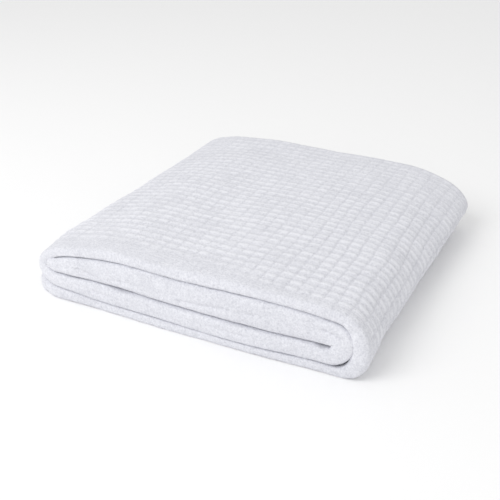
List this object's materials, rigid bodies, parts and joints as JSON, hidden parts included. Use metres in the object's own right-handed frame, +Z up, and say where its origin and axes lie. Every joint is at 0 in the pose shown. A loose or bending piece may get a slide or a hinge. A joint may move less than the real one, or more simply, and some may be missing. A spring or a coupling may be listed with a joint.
{
  "type": "folded waffle weave cotton blanket",
  "caption": "White waffle weave cotton blanket, folded into a flat, soft-cornered pile with rolled sides and its closed folds at the front.",
  "frame": {"origin": "centre of the bounding box's bottom face, on the surface that the folded blanket lies on", "axes": "+Z up through the pile, +X along the closed front folds from the left rolled side to the right one, +Y from the front folds to the open back edges"},
  "size_m": [0.3853, 0.3733, 0.0769],
  "materials": {
    "cotton": "matt, fuzzy waffle weave cotton"
  },
  "bodies": {
    "root": {"blanket": "cotton"}
  },
  "joints": []
}
